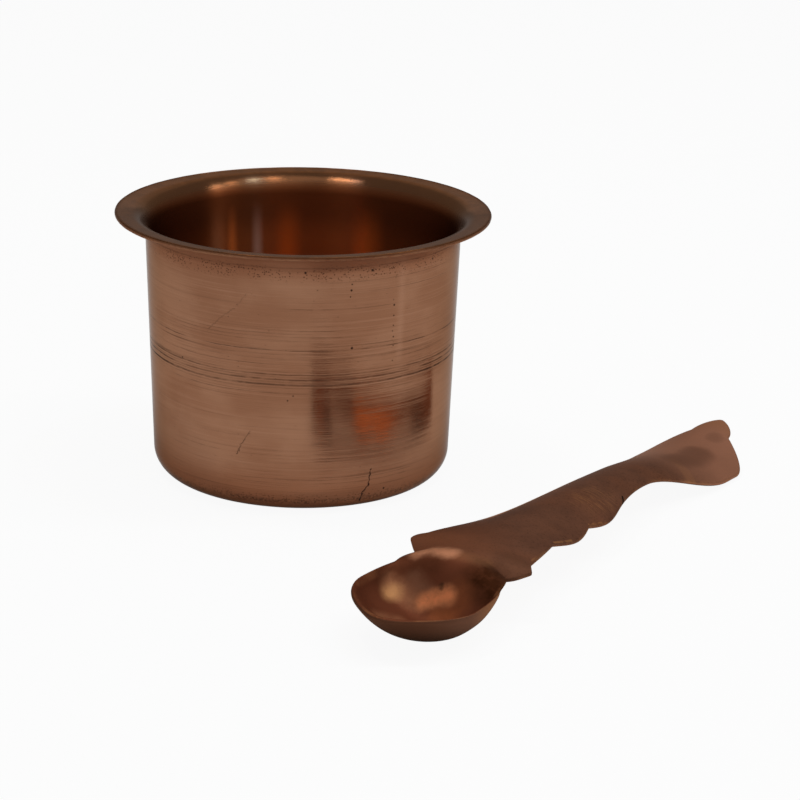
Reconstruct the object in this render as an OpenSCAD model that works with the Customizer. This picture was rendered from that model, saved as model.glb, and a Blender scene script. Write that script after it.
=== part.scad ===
// Panchpatra: a spun copper cup with a flared lip, and the stamped copper spoon that lies beside it.
// The origin is the centre of the cup's flat base, and both pieces stand on the plane z = 0.

/* [Cup] */
// Diameter over the flared lip
lip_d = 76; // [70:0.5:86]
// Diameter of the body just under the lip
neck_d = 63.8; // [58:0.2:68]
// Diameter of the body just above its bottom corner
foot_d = 60.8; // [52:0.2:66]
// Height from the base to the top of the lip
cup_h = 54.6; // [40:0.2:80]
// Thickness of the cup's sheet
cup_wall = 0.7; // [0.5:0.05:1.4]
// Outside radius of the rounded bottom corner
corner_r = 5.3; // [2.5:0.1:9]
// Radius of the bend on the underside of the lip
lip_bend_r = 3.4; // [2:0.1:3.8]
// Angle by which the lip rises towards its edge
lip_rise_a = 4; // [0:0.5:12]

/* [Spoon sheet] */
// Thickness of the spoon's sheet
spoon_t = 1.0; // [0.6:0.05:1.4]
// Distance that the bowl's tip lies in front of the cup's lip
spoon_out = 64.9; // [60:0.1:90]
// Distance that the bowl's tip lies to the right of the cup's axis
spoon_side = 17.2; // [10:0.1:60]
// Direction of the handle, measured from the X axis
spoon_yaw = 59.0; // [45:0.1:65]

/* [Spoon bowl] */
// Length from the tip to the notches behind the bowl
bowl_l = 28.5; // [26:0.1:36]
// Length from the tip to the bowl's widest place
bowl_front_l = 13.5; // [12:0.1:17]
// Width of the bowl
bowl_w = 23.8; // [21:0.1:30]
// Width between the notches behind the bowl
notch_w = 18.9; // [16:0.1:20.4]
// Height of the bowl's rim
rim_h = 8.8; // [7:0.1:12]
// How much the rim is drawn in towards its tip, from 0 for an ellipse
tip_point = 0.36; // [0:0.01:0.45]
// Fullness of the section at the bowl's widest place, where 1 is a parabola and 0.5 an ellipse
bowl_full = 0.59; // [0.5:0.01:1]
// Length over which the bowl falls from its tip to its floor
bowl_slope_l = 17.5; // [14:0.1:20]
// Length over which the bowl's back wall rises from the floor to the ridge
bowl_back_l = 11.9; // [9:0.1:13]
// Sideways lean of the bowl about the handle
bowl_lean = 3.1; // [-6:0.1:6]
// Length behind the ears over which the lean dies out
lean_l = 23.2; // [10:0.1:60]

/* [Spoon handle outline] */
// Length of the ears' slanted front edge
ear_front_l = 3.5; // [1.5:0.1:6]
// Length of the ears' back edge
ear_back_l = 3.1; // [1.5:0.1:6]
// Width over the ears, where their two edges would meet
ear_w = 25.8; // [22:0.1:32]
// How much the ears' corners are rounded off
ear_corner = 0.45; // [0.1:0.05:1]
// Width where the ears end
ear_root_w = 22; // [19:0.1:26]
// Lengths of the first, second and third scallops, counted from the ears
scallop_1_l = 11.8; // [8:0.1:16]
scallop_2_l = 15.8; // [10:0.1:22]
scallop_3_l = 13.3; // [9:0.1:20]
// Width at the cusp between the first and second scallops
cusp_1_w = 17.9; // [15:0.1:22]
// Width at the cusp between the second and third scallops
cusp_2_w = 16.3; // [14:0.1:20]
// Width where the third scallop runs into the neck
neck_w = 15.4; // [13:0.1:18]
// How far the first, second and third scallops bulge past a straight edge
bulge_1 = 0.1; // [0:0.05:1]
bulge_2 = 1.15; // [0.2:0.05:2]
bulge_3 = 0.85; // [0.2:0.05:2]
// Length of the neck down to the waist
neck_l = 16.6; // [10:0.1:24]
// Width at the waist
waist_w = 11.4; // [9:0.1:15]
// Length from the waist to the full width of the hood
hood_l = 25.9; // [18:0.1:36]
// Length of the hood at its full width
hood_flat_l = 4.6; // [1:0.1:10]
// Width of the hood
hood_w = 22.4; // [18:0.1:27]
// Length over which the hood closes towards the end knob
hood_end_l = 10.1; // [6:0.1:16]
// Length of the end knob
knob_l = 6; // [4:0.1:10]
// Width of the end knob
knob_w = 8.6; // [6:0.1:13]

/* [Spoon handle height] */
// Height of the ridge where the handle rolls down into the bowl
ridge_h = 11.7; // [10:0.1:14]
// Height of the handle's crest at the first cusp
crest_h = 11.4; // [10:0.1:15]
// Height of the crest at the waist
waist_h = 8.8; // [7:0.1:12]
// Height of the crest at the hood
hood_h = 5.1; // [4.5:0.1:8]
// Height of the crest at the end
end_h = 6.6; // [5:0.1:9]
// Radius of the arched section along the scallops and the waist
channel_r = 10.8; // [9:0.1:16]
// Radius of the flatter section across the ears
ear_r = 46; // [30:1:90]

/* [Hidden] */
$fn = 128;
// Clearance that keeps the leaning bowl off the table
floor_gap = 0.05;
// Half width of the blunt edge at the tip and at the end
blunt = 0.3;
// Length at the tip over which the rows crowd together
tip_l = 5;
// Steps along each bend of the cup
corner_steps = 10;
bend_steps = 12;
// Strips across the spoon, and the step that measures the sheet's slope
strips = 16;
probe = 0.01;

// Cup: derived places
lip_r = lip_d / 2;
neck_r = neck_d / 2;
foot_r = foot_d / 2;
lip_reach_r = neck_r + lip_bend_r;
bend_z = cup_h - (lip_bend_r + cup_wall) * cos(lip_rise_a)
    - (lip_r - lip_reach_r + (lip_bend_r + cup_wall) * sin(lip_rise_a)) * tan(lip_rise_a);
wall_a = atan((neck_r - foot_r) / (bend_z - corner_r));

// Spoon: derived stations along the axis, counted from the tip
ear_s = bowl_l + ear_front_l;
root_s = ear_s + ear_back_l;
cusp_1_s = root_s + scallop_1_l;
cusp_2_s = cusp_1_s + scallop_2_l;
neck_s = cusp_2_s + scallop_3_l;
waist_s = neck_s + neck_l;
hood_s = waist_s + hood_l;
hood_flat_s = hood_s + hood_flat_l;
knob_s = hood_flat_s + hood_end_l;
spoon_l = knob_s + knob_l;

// Spoon: heights of the middle of the sheet
half_t = spoon_t / 2;
rim_z = rim_h - half_t;
floor_z = half_t + floor_gap;
ridge_z = ridge_h - half_t;
// The back half of the rim is an ellipse that passes through the notches
bowl_back_axis = (bowl_l - bowl_front_l) / sqrt(1 - pow(notch_w / bowl_w, 2));
// How fast the third scallop narrows where the neck takes over
neck_slope = ((neck_w - cusp_2_w) / 2 - PI * bulge_3) / scallop_3_l;

// Height of the crest, and how fast the section falls away from it, at the features that set them
crest_points = [[bowl_l, ridge_z], [cusp_1_s, crest_h - half_t], [waist_s, waist_h - half_t],
    [hood_flat_s, hood_h - half_t], [spoon_l, end_h - half_t]];
hood_droop = (hood_h - half_t - floor_z) / pow(hood_w / 2, 2);
droop_points = [[bowl_l, (ridge_z - rim_z) / pow(notch_w / 2, 2)], [ear_s, 1 / (2 * ear_r)],
    [root_s, 1 / (2 * ear_r)], [cusp_2_s, 1 / (2 * channel_r)], [waist_s, 1 / (2 * channel_r)],
    [hood_s, hood_droop], [hood_flat_s, hood_droop], [spoon_l, 1 / (2 * channel_r)]];

// Rows of the spoon: the stations that bound each stretch, and the rows in it
stretch_ends = [tip_l, bowl_l, ear_s, root_s, cusp_1_s, cusp_2_s, neck_s, waist_s, hood_s,
    hood_flat_s, knob_s];
stretch_rows = [13, 5, 5, 4, 7, 7, 5, 9, 2, 6];
tip_rows = 6;
knob_rows = 7;
rows = concat(
    [for (i = [0:tip_rows - 1]) tip_l * pow(i / tip_rows, 2)],
    [for (k = [0:len(stretch_rows) - 1], i = [0:stretch_rows[k] - 1])
        mix(stretch_ends[k], stretch_ends[k + 1], i / stretch_rows[k])],
    [for (i = [0:knob_rows]) mix(knob_s, spoon_l, 1 - pow(1 - i / knob_rows, 2))]);

function mix(a, b, u) = a + (b - a) * u;
function unit(u) = min(1, max(0, u));
function ease(u) = (1 - cos(180 * u)) / 2;
// Step from 0 to 1, and fall from 1 that starts straight and levels out at 0. Neither ends with a bend
function soft_rise(u) = u * u * u * (10 - 15 * u + 6 * u * u);
function soft_fall(u) = pow(1 - u, 3) * (1 + u);
// The lesser of two values, rounded off where they cross
function soft_min(a, b, r) = (a + b - sqrt(pow(a - b, 2) + r * r)) / 2;
// Share of the way from one station to another
function along(s, from, length) = unit((s - from) / length);

// Smooth curve through [station, value] points: cubic pieces whose slope at a point is the
// mean of the slopes on its two sides
function chord(p, i) = (p[i + 1][1] - p[i][1]) / (p[i + 1][0] - p[i][0]);
function slope(p, i) = i == 0 ? chord(p, 0)
    : i == len(p) - 1 ? chord(p, i - 1)
    : (chord(p, i - 1) + chord(p, i)) / 2;
function piece(p, s, i = 0) = i >= len(p) - 2 || s < p[i + 1][0] ? i : piece(p, s, i + 1);
function cubic(u, h, a, slope_a, b, slope_b) =
    (1 + 2 * u) * pow(1 - u, 2) * a + u * pow(1 - u, 2) * h * slope_a
    + u * u * (3 - 2 * u) * b + u * u * (u - 1) * h * slope_b;
function through(p, s) = let (i = piece(p, s), h = p[i + 1][0] - p[i][0])
    cubic(along(s, p[i][0], h), h, p[i][1], slope(p, i), p[i + 1][1], slope(p, i + 1));

// Points of an arc from angle a to angle b
function arc(centre, r, a, b, steps) =
    [for (i = [0:steps]) centre + r * [cos(mix(a, b, i / steps)), sin(mix(a, b, i / steps))]];

// Straight edge with a bulge between two half widths
function scallop(s, from, length, a, b, bulge) =
    let (u = along(s, from, length)) mix(a, b, u) + bulge * sin(180 * u);

// Half width of the rim: a half ellipse drawn in to the tip, then an ellipse that the notches cut off
function bowl_half(s) = s < bowl_front_l
    ? let (u = 1 - s / bowl_front_l) bowl_w / 2 * sqrt(1 - u * u) * (1 - tip_point * u * u)
    : bowl_w / 2 * sqrt(1 - pow((s - bowl_front_l) / bowl_back_axis, 2));

// Half width at the ears: a straight front edge and a hollow back edge that meet in a corner
function ear_half(s) = soft_min(
    mix(notch_w / 2, ear_w / 2, (s - bowl_l) / ear_front_l),
    mix(ear_root_w / 2, ear_w / 2, pow((root_s - s) / ear_back_l, 1.5)), ear_corner);

// Half width of the spoon's outline at a station
function half_width(s) = max(blunt,
    s < bowl_l ? bowl_half(s)
    : s < root_s ? ear_half(s)
    : s < cusp_1_s ? scallop(s, root_s, scallop_1_l, ear_root_w / 2, cusp_1_w / 2, bulge_1)
    : s < cusp_2_s ? scallop(s, cusp_1_s, scallop_2_l, cusp_1_w / 2, cusp_2_w / 2, bulge_2)
    : s < neck_s ? scallop(s, cusp_2_s, scallop_3_l, cusp_2_w / 2, neck_w / 2, bulge_3)
    : s < waist_s ? cubic(along(s, neck_s, neck_l), neck_l, neck_w / 2, neck_slope, waist_w / 2, 0)
    : s < hood_s ? mix(waist_w / 2, hood_w / 2, ease(along(s, waist_s, hood_l)))
    : s < knob_s ? mix(knob_w / 2, hood_w / 2, cos(90 * along(s, hood_flat_s, hood_end_l)))
    : knob_w / 2 * pow(1 - pow(along(s, knob_s, knob_l), 2), 0.85));

// Height along the axis: down from the tip to the bowl's floor, up its back wall, then along the crest
function axis_z(s) = s < bowl_l
    ? floor_z + (rim_z - floor_z) * soft_fall(along(s, 0, bowl_slope_l))
        + (ridge_z - floor_z) * soft_rise(along(s, bowl_l - bowl_back_l, bowl_back_l))
    : through(crest_points, s);

// Height of the outline: the level rim, then the edge of the arched section
function edge_z(s) = s < bowl_l ? rim_z : axis_z(s) - through(droop_points, s) * pow(half_width(s), 2);

// Fullness of the section: a parabola at the tip, round in the bowl, a parabola again on the handle
function fullness(s) = s < bowl_front_l
    ? mix(1, bowl_full, ease(along(s, 0, bowl_front_l)))
    : mix(bowl_full, 1, along(s, bowl_l - bowl_back_l / 2, bowl_back_l / 2));

// Sideways lean, which dies out behind the ears
function lean(s) = bowl_lean * (1 - ease(along(s, ear_s, lean_l)));

// Middle of the sheet at a station and at a share v of the half width, from -1 to 1
function sheet(s, v) = let (t = v * half_width(s))
    [s, t, mix(edge_z(s), axis_z(s), pow(unit(1 - v * v), fullness(s))) + t * tan(lean(s))];

// Upward normal of the sheet, from the difference of near points
function normal(s, v) = let (
    ds = sheet(min(spoon_l, s + probe), v) - sheet(max(0, s - probe), v),
    dv = sheet(s, min(1, v + probe)) - sheet(s, max(-1, v - probe)),
    n = cross(ds, dv))
    n / norm(n);

// Cup: one sheet spun to a cup, with a round bottom corner, a slight taper and a lip that turns out
module cup() {
    corner = [foot_r - corner_r, corner_r];
    bend = [lip_reach_r, bend_z];
    edge_rise = tan(lip_rise_a);
    under = arc(bend, lip_bend_r, 180, 90 + lip_rise_a, bend_steps);
    over = arc(bend, lip_bend_r + cup_wall, 90 + lip_rise_a, 180, bend_steps);
    under_end = under[bend_steps];
    color("peru")
        rotate_extrude()
            polygon(concat(
                [[0, 0]],
                arc(corner, corner_r, -90, -wall_a, corner_steps),
                under,
                [[lip_r, under_end[1] + (lip_r - under_end[0]) * edge_rise]],
                [[lip_r, over[0][1] + (lip_r - over[0][0]) * edge_rise]],
                over,
                arc(corner, corner_r - cup_wall, -wall_a, -90, corner_steps),
                [[0, cup_wall]]));
}

// Spoon: one sheet with a dished, pointed bowl and an arched handle, scalloped and ending in a hood
module spoon() {
    columns = [for (j = [0:strips]) sin(mix(-90, 90, j / strips))];
    top = [for (s = rows, v = columns) sheet(s, v) + half_t * normal(s, v)];
    under = [for (s = rows, v = columns) sheet(s, v) - half_t * normal(s, v)];
    across = strips + 1;
    last = len(rows) - 1;
    count = len(top);
    quads = concat(
        [for (i = [0:last - 1], j = [0:strips - 1]) let (a = i * across + j)
            [a, a + 1, a + across + 1, a + across]],
        [for (i = [0:last - 1], j = [0:strips - 1]) let (a = count + i * across + j)
            [a, a + across, a + across + 1, a + 1]],
        [for (i = [0:last - 1]) let (a = i * across) [a, a + across, a + across + count, a + count]],
        [for (i = [0:last - 1]) let (a = i * across + strips)
            [a, a + count, a + across + count, a + across]],
        [for (j = [0:strips - 1]) [j, j + count, j + 1 + count, j + 1]],
        [for (j = [0:strips - 1]) let (a = last * across + j) [a, a + 1, a + 1 + count, a + count]]);
    color("sienna")
        translate([spoon_side, -(lip_r + spoon_out), 0])
            rotate([0, 0, spoon_yaw])
                polyhedron(concat(top, under), [for (q = quads, k = [0, 1]) [q[0], q[k + 1], q[k + 2]]]);
}

cup();
spoon();
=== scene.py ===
# Panchpatra: a spun copper cup with a flared lip and its stamped copper spoon, in metres, +Z up.
# The origin is the centre of the cup's base, and both pieces stand on the plane z = 0.

import math

import bpy
import numpy as np
from mathutils import Matrix, Vector


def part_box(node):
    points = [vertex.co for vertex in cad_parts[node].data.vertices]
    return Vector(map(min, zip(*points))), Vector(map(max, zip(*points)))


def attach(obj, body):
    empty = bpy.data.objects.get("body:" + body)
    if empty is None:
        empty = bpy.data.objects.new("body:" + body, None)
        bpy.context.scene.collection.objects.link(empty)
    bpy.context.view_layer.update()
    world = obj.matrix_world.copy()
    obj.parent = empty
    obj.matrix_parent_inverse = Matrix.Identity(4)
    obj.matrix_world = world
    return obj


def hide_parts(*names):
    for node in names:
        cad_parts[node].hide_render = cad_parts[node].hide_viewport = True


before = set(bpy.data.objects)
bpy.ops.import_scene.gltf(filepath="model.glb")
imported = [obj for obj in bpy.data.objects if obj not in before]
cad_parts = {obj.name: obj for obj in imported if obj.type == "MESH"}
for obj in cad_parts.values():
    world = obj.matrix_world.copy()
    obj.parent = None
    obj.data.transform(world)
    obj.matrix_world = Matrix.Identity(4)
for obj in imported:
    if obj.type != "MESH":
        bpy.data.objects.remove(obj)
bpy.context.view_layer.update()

# Cup
# One round of copper sheet, spun on a lathe into a straight-sided cup with a lip turned outwards.
# The chisel leaves fine rings all round the wall, and the lip keeps its plain cut edge.
MM = 0.001
LIP_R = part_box("cup")[1].x / MM
CUP_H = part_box("cup")[1].z / MM
NECK_R = 31.9
FOOT_R = 30.4
CUP_WALL = 0.7
CORNER_R = 5.3
LIP_BEND_R = 3.4
LIP_RISE = math.radians(4)
EDGE_R = 0.3
WALL_TOP = CUP_H - LIP_BEND_R - CUP_WALL
CUP_TURNS = 432
EDGE_POINTS = 5
LIP_POINTS = 5
BEND_POINTS = 18
WALL_POINTS = 84
INNER_WALL_POINTS = 24
CORNER_POINTS = 16
INNER_CORNER_POINTS = 12
FLAT_POINTS = 6
# Waves of the wall as radians per mm and shift, and nicks and dips of the lip's edge as waves per turn
WAVE_DEPTH = 0.006
WALL_WAVES = ((1.9, 0.3), (3.1, 2.0), (4.7, 4.1))
NICK_DEPTH = 0.09
DIP_DEPTH = NICK_DEPTH / 2
NICK_REACH = 1.2
NICK_ORDERS = (23, 37, 61, 88, 131, 167)
NICK_SEED = 4
DIP_ORDERS = (5, 11, 29, 53)
DIP_SEED = 9


def arc(centre, radius, start, end, count):
    """Points of an arc about a centre, from one angle to another, in degrees."""
    angle = np.radians(np.linspace(start, end, count))
    return np.stack([centre[0] + radius * np.cos(angle), centre[1] + radius * np.sin(angle)], 1)


def line(start, end, count):
    """Evenly spaced points on a straight line, without its two ends."""
    share = np.linspace(0, 1, count + 2)[1:-1, None]
    return np.array(start) * (1 - share) + np.array(end) * share


def ripple(angle, orders, seed):
    """Sum of sine waves round the circle, of the given orders and of random phase, from -1 to 1."""
    phase = np.random.default_rng(seed).uniform(0, 2 * np.pi, len(orders))
    waves = np.sin(np.outer(angle, orders) + phase) / np.sqrt(orders)
    return waves.sum(1) / np.abs(waves).sum(1).max()


def cup_profile():
    """Half section of the cup as (radius, height), from the middle of the base, up the outside, round the
    cut edge of the lip and down the inside to the middle again, and the number of the edge's first point."""
    reach = NECK_R + LIP_BEND_R
    rise = math.tan(LIP_RISE)
    over_r = LIP_BEND_R + CUP_WALL
    bend_z = CUP_H - over_r * math.cos(LIP_RISE) - (LIP_R - reach + over_r * math.sin(LIP_RISE)) * rise
    taper = math.degrees(math.atan((NECK_R - FOOT_R) / (bend_z - CORNER_R)))
    lip_a = 90 + math.degrees(LIP_RISE)
    corner = (FOOT_R - CORNER_R, CORNER_R)
    bend = (reach, bend_z)
    under = arc(bend, LIP_BEND_R, 180, lip_a, BEND_POINTS)
    over = arc(bend, over_r, lip_a, 180, BEND_POINTS)
    low = (LIP_R - EDGE_R, under[-1, 1] + (LIP_R - under[-1, 0]) * rise + EDGE_R)
    high = (LIP_R - EDGE_R, CUP_H - EDGE_R)
    outside = arc(corner, CORNER_R, -90, -taper, CORNER_POINTS)
    inside = arc(corner, CORNER_R - CUP_WALL, -taper, -90, INNER_CORNER_POINTS)
    edge = np.concatenate([arc(low, EDGE_R, lip_a - 180, 0, EDGE_POINTS),
                           arc(high, EDGE_R, 0, lip_a, EDGE_POINTS)])
    start = np.concatenate([[(0, 0)], line((0, 0), outside[0], FLAT_POINTS), outside,
                            line(outside[-1], under[0], WALL_POINTS), under,
                            line(under[-1], edge[0], LIP_POINTS)])
    end = np.concatenate([line(edge[-1], over[0], LIP_POINTS), over,
                          line(over[-1], inside[0], INNER_WALL_POINTS), inside,
                          line(inside[-1], (0, CUP_WALL), FLAT_POINTS), [(0, CUP_WALL)]])
    return np.concatenate([start, edge, end]), len(start)


def spun_mesh(name, profile, turn, dent_r, dent_z):
    """Surface of revolution: each ring has the profile's radius and height at each angle, plus the dents'
    change of radius and height. The first and last points lie on the axis and close the surface."""
    rings = profile[1:-1]
    radius = rings[:, 0, None] + dent_r
    height = rings[:, 1, None] + dent_z
    points = np.stack([radius * np.sin(turn), -radius * np.cos(turn), height], -1).reshape(-1, 3)
    poles = np.array([(0, 0, profile[0, 1]), (0, 0, profile[-1, 1])])
    around = len(turn)
    ring_start = np.arange(len(rings) - 1)[:, None] * around
    next_start = ring_start + around
    here = np.arange(around)
    after = (here + 1) % around
    quads = np.stack([ring_start + here, ring_start + after, next_start + after, next_start + here], -1)
    count = len(points)
    last_ring = count - around
    base = np.stack([np.full(around, count), after, here], -1)
    floor = np.stack([np.full(around, count + 1), last_ring + here, last_ring + after], -1)
    mesh = bpy.data.meshes.new(name)
    mesh.from_pydata(np.concatenate([points, poles]) * MM, [],
                     quads.reshape(-1, 4).tolist() + base.tolist() + floor.tolist())
    mesh.shade_smooth()
    return mesh


def set_attribute(mesh, name, values):
    """Stores one number per vertex, for the material to read."""
    layer = mesh.attributes.new(name, "FLOAT", "POINT")
    layer.data.foreach_set("value", np.asarray(values, np.float32).ravel())


profile, edge_start = cup_profile()
turn = np.linspace(-np.pi, np.pi, CUP_TURNS, endpoint=False)
ring_r, ring_z = profile[1:-1].T
ring_number = np.arange(len(ring_r))
on_wall = (ring_z > CORNER_R) & (ring_z < WALL_TOP) & (ring_number < edge_start)
wall_wave = sum(np.sin(ring_z * rate + shift) for rate, shift in WALL_WAVES) / len(WALL_WAVES)
near_edge = np.clip((ring_r - (LIP_R - NICK_REACH)) / NICK_REACH, 0, 1)[:, None] ** 2
nicks = np.clip(ripple(turn, NICK_ORDERS, NICK_SEED), 0, 1) ** 1.5
dips = np.clip(ripple(turn, DIP_ORDERS, DIP_SEED), 0, 1)
dent_r = WAVE_DEPTH * (on_wall * wall_wave)[:, None] - NICK_DEPTH * near_edge * nicks
dent_z = -DIP_DEPTH * near_edge * dips
cup = bpy.data.objects.new("copper_cup", spun_mesh("copper_cup", profile, turn, dent_r, dent_z))
bpy.context.scene.collection.objects.link(cup)
inner_ring = np.clip((ring_number - edge_start - EDGE_POINTS + 1) / (EDGE_POINTS - 1), 0, 1)
set_attribute(cup.data, "inner", np.concatenate([np.repeat(inner_ring, CUP_TURNS), [0, 1]]))


class Term:
    """A number, colour or vector that varies over a surface: a shader socket that takes part in
    arithmetic, where each operation adds a node."""

    def __init__(self, tree, socket=None):
        self.tree = tree
        self.socket = socket

    def node(self, kind, settings, sockets, output=0):
        """Adds a node of a kind, makes its settings, fills or links its sockets, and gives an output."""
        made = self.tree.nodes.new(kind)
        for name, value in settings.items():
            setattr(made, name, value)
        for key, value in sockets.items():
            if isinstance(value, Term):
                self.tree.links.new(value.socket, made.inputs[key])
            else:
                made.inputs[key].default_value = value
        return Term(self.tree, made.outputs[output])

    def math(self, operation, *values):
        """A Math node's operation on some values."""
        return self.node("ShaderNodeMath", {"operation": operation}, dict(enumerate(values)))

    def __add__(self, other):
        return self.math("ADD", self, other)

    def __sub__(self, other):
        return self.math("SUBTRACT", self, other)

    def __rsub__(self, other):
        return self.math("SUBTRACT", other, self)

    def __mul__(self, other):
        return self.math("MULTIPLY", self, other)

    def __truediv__(self, other):
        return self.math("DIVIDE", self, other)

    __radd__ = __add__
    __rmul__ = __mul__

    def most(self, other):
        """The larger of two numbers."""
        return self.math("MAXIMUM", self, other)

    def least(self, other):
        """The smaller of two numbers."""
        return self.math("MINIMUM", self, other)

    def step(self, low, high):
        """Smooth step from 0 at low to 1 at high, where high may be the smaller."""
        ends = (low, high, 0, 1) if low < high else (high, low, 1, 0)
        names = ("Value", "From Min", "From Max", "To Min", "To Max")
        return self.node("ShaderNodeMapRange", {"interpolation_type": "SMOOTHSTEP"},
                         dict(zip(names, (self, *ends))))

    def near(self, place, half):
        """1 at a place, falling smoothly to 0 at a half width on each side of it."""
        return self.math("ABSOLUTE", self - place).step(half, 0)

    def blend(self, start, end):
        """Colour that goes from start to end as this number goes from 0 to 1."""
        return self.node("ShaderNodeMix", {"data_type": "RGBA"}, {0: self, 6: start, 7: end}, 2)

    def noise(self, x, y, z, detail=2.0, rough=0.5):
        """Soft random pattern from 0 to 1, whose grain is one unit of the given coordinates."""
        place = self.node("ShaderNodeCombineXYZ", {}, {0: x, 1: y, 2: z})
        sockets = {"Vector": place, "Scale": 1.0, "Detail": detail, "Roughness": rough}
        return self.node("ShaderNodeTexNoise", {}, sockets)

    def grain(self, place, across, up, detail=2.0, rough=0.5):
        """Soft random pattern from 0 to 1, with so many grains per mm sideways and upwards."""
        x, y, z = place
        return self.noise(x * across, y * across, z * up, detail, rough)

    def specks(self, place, across, up, share, size):
        """Small round specks on a share of the cells of a random pattern, with so many cells per mm
        sideways and upwards. The size is a share of a cell."""
        x, y, z = place
        cell = self.node("ShaderNodeCombineXYZ", {}, {0: x * across, 1: y * across, 2: z * up})
        away = self.node("ShaderNodeTexVoronoi", {}, {"Vector": cell, "Scale": 1.0})
        tint = self.node("ShaderNodeTexVoronoi", {}, {"Vector": cell, "Scale": 1.0}, 1)
        chosen = self.node("ShaderNodeSeparateColor", {}, {0: tint})
        return away.step(size, size / 3) * chosen.step(1 - share, 1.05 - share)


def metal(name):
    """A new material with a metallic shader, its first term, its places in mm and its shader node."""
    made = bpy.data.materials.new(name)
    made.use_nodes = True
    tree = made.node_tree
    shader = tree.nodes["Principled BSDF"]
    shader.inputs["Metallic"].default_value = 1.0
    first = Term(tree)
    object_place = first.node("ShaderNodeTexCoord", {}, {}, 3)
    place = [first.node("ShaderNodeSeparateXYZ", {}, {0: object_place}, k) * (1 / MM) for k in range(3)]
    return made, first, place, shader


def wire(shader, values):
    """Links terms to the shader's sockets."""
    for name, value in values.items():
        value.tree.links.new(value.socket, shader.inputs[name])


def stroke(u, v, points, half, core=0.33):
    """Line through points of a flat sheet: 1 within a core share of its half width, falling to 0 at the
    half width. The distance is taken from the nearest point of the nearest straight piece."""
    nearest = None
    for (u0, v0), (u1, v1) in zip(points, points[1:]):
        du, dv = u1 - u0, v1 - v0
        from_u, from_v = u - u0, v - v0
        share = (from_u * du + from_v * dv) / (du * du + dv * dv)
        share = share.most(0.0).least(1.0)
        off_u, off_v = from_u - share * du, from_v - share * dv
        squared = off_u * off_u + off_v * off_v
        nearest = squared if nearest is None else nearest.least(squared)
    return nearest.step(half * half, (half * core) ** 2)


def spot(u, v, place, reach):
    """Soft patch on a flat sheet: 1 at its place, falling to 0 at its reach in the two directions."""
    off_u, off_v = (u - place[0]) * (1 / reach[0]), (v - place[1]) * (1 / reach[1])
    return (off_u * off_u + off_v * off_v).step(1.0, 0.0)


# Ring lines of the chisel: height, first and last angle from the front in degrees, half width, darkness
RING_LINES = ((50.9, -75, 75, 0.12, 0.5), (48.0, 10, 70, 0.12, 0.5), (45.9, 30, 65, 0.12, 0.5),
              (42.6, -3, 38, 0.13, 0.6), (38.2, -5, 15, 0.13, 0.6), (37.6, -60, 10, 0.12, 0.5),
              (36.9, -50, 20, 0.14, 0.6), (36.2, -60, 5, 0.12, 0.5), (34.2, -180, 180, 0.2, 0.9),
              (33.3, -60, 30, 0.12, 0.45), (32.4, -40, 60, 0.12, 0.45), (31.3, -60, -5, 0.14, 0.6),
              (29.8, -70, 70, 0.12, 0.5), (29.2, -180, 180, 0.22, 0.9), (28.7, -70, 70, 0.13, 0.5),
              (28.2, -180, 180, 0.28, 1.0), (27.7, -70, 70, 0.13, 0.55), (27.1, -180, 180, 0.34, 1.0),
              (26.5, -70, 70, 0.13, 0.5), (25.4, -55, 5, 0.16, 0.65), (18.0, -30, 10, 0.12, 0.3),
              (16.0, -40, 20, 0.12, 0.3), (13.4, -45, 10, 0.12, 0.35), (12.4, -50, 0, 0.12, 0.5),
              (7.4, -25, 50, 0.14, 0.5), (6.6, -25, 50, 0.14, 0.45))
LINE_FADE = 6
# Scratches on the wall: points as degrees from the front and height, then half width and darkness
SCRATCHES = ((((29, 8.8), (28.2, 5.6), (26, 4.2), (25.2, 2)), 0.2, 1.0),
             (((-17, 17), (-20, 14.6), (-22.3, 12)), 0.17, 0.65),
             (((-18, 45.3), (-22, 42.3), (-28, 39.8), (-34, 36.5)), 0.13, 0.28))
# Single pits: degrees from the front, height, half width
PITS = ((3, 50.1, 0.32), (27, 50.0, 0.36), (55, 49.9, 0.3), (19.5, 47.5, 0.2), (19.3, 46.3, 0.3),
        (19, 45.0, 0.18), (36.4, 42.3, 0.28), (20, 34.5, 0.34), (-3, 24, 0.2), (-1, 25, 0.2),
        (35, 4.2, 0.3), (-47, 29.5, 0.25))
# Column of small pits: degrees from the front, half width in degrees, foot, and how far it strays
PIT_COLUMN_A = 36.5
PIT_COLUMN_HALF = 0.9
PIT_COLUMN_FOOT = 30
PIT_COLUMN_STRAY = 1.5
# Painted highlights of the lamps, as streaks down the inside: degrees from the front, half width, colour
INNER_LAMP_HIGHLIGHTS = ((-141.6, 5.5, (0.36, 0.122, 0.054, 1)), (-148.8, 3.0, (0.74, 0.18, 0.043, 1)),
                 (-159.4, 3.2, (0.6, 0.29, 0.19, 1)), (-172.0, 7.0, (0.64, 0.128, 0.023, 1)),
                 (155.5, 9.0, (0.8, 0.18, 0.034, 1)))
# Random patterns: grains per mm sideways and upwards, then detail and roughness where they aren't the usual
PATCHES = (0.06, 0.09, 3.0)
RINGS = (0.03, 3.2, 4.0, 0.65)
SWELLS = (0.015, 1.1, 1.0)
HAIR = (0.12, 9, 2.0, 0.6)
BREAKS = (0.09, 0.8, 3.0)
GAPS = (0.35, 1.6, 3.0, 0.6)
FRAYS = (0.3, 2.5, 3.0, 0.7)
FOOT_BLOTCHES = (2.5, 0.8, 3.0)
PIT_BAND = (0.12, 0.4)
LIP_MOTTLE = (0.35, 0.35, 4.0, 0.65)
EDGE_WORN = (0.9, 3, 3.0)
# Sway and fraying of the ring lines and wander of the scratches: mm from end to end
SWAY = 0.6
SWAY_GRAINS = 0.04
FRAY = 0.3
WANDER = 1.1
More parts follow.
